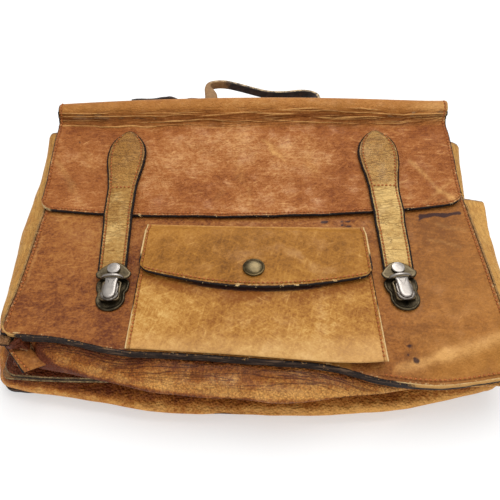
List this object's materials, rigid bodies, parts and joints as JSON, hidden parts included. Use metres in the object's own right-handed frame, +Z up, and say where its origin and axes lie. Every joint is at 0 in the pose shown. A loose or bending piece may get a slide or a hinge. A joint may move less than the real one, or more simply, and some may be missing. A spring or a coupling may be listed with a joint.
{
  "type": "leather briefcase",
  "caption": "Soft leather briefcase lying on its back, flap closed by straps with slide locks; folded gussets, a patch pocket with a snap, and a fallen strap handle.",
  "frame": {"origin": "on the flat underside of the back, on the middle line of the front, halfway from the bottom seam to the top", "axes": "+X across the case to the right as seen from the front, +Y from the bottom towards the handle, +Z up out of the front"},
  "size_m": [0.4314, 0.3507, 0.0955],
  "materials": {
    "leather_tan": "worn, semi-matt, orange brown",
    "leather_pale": "worn, semi-matt, yellow tan",
    "leather_gusset": "creased, semi-matt, brown",
    "leather_dark": "dark, with rubbed pale edges",
    "bronze": "antique bronze, rubbed at the rims",
    "silver": "worn nickel plating"
  },
  "bodies": {
    "bag": {"back_panel": "leather_tan", "inner_wall": "leather_tan", "front_panel": "leather_tan", "back_gusset": "leather_gusset", "front_gusset": "leather_gusset", "flap": "leather_tan", "pocket": "leather_pale", "pocket_flap": "leather_pale", "snap_cap": "bronze", "strap_left": "leather_pale", "strap_right": "leather_pale", "lock_plate_left": "bronze", "lock_plate_right": "bronze", "lock_hasp_left": "bronze", "lock_hasp_right": "bronze", "lock_rivet_left": "silver", "lock_rivet_right": "silver", "handle_bar": "leather_dark", "handle": "leather_dark"},
    "slider_left": {"lock_slider_left": "silver"},
    "slider_right": {"lock_slider_right": "silver"}
  },
  "joints": [
    {"name": "slider_left_slide", "type": "slide", "parent": "bag", "child": "slider_left", "axis": [0.012, -0.9999, 0], "range_m": [0, 0.004], "stiffness_N_per_m": 400},
    {"name": "slider_right_slide", "type": "slide", "parent": "bag", "child": "slider_right", "axis": [0.0899, -0.996, 0], "range_m": [0, 0.004], "stiffness_N_per_m": 400}
  ]
}
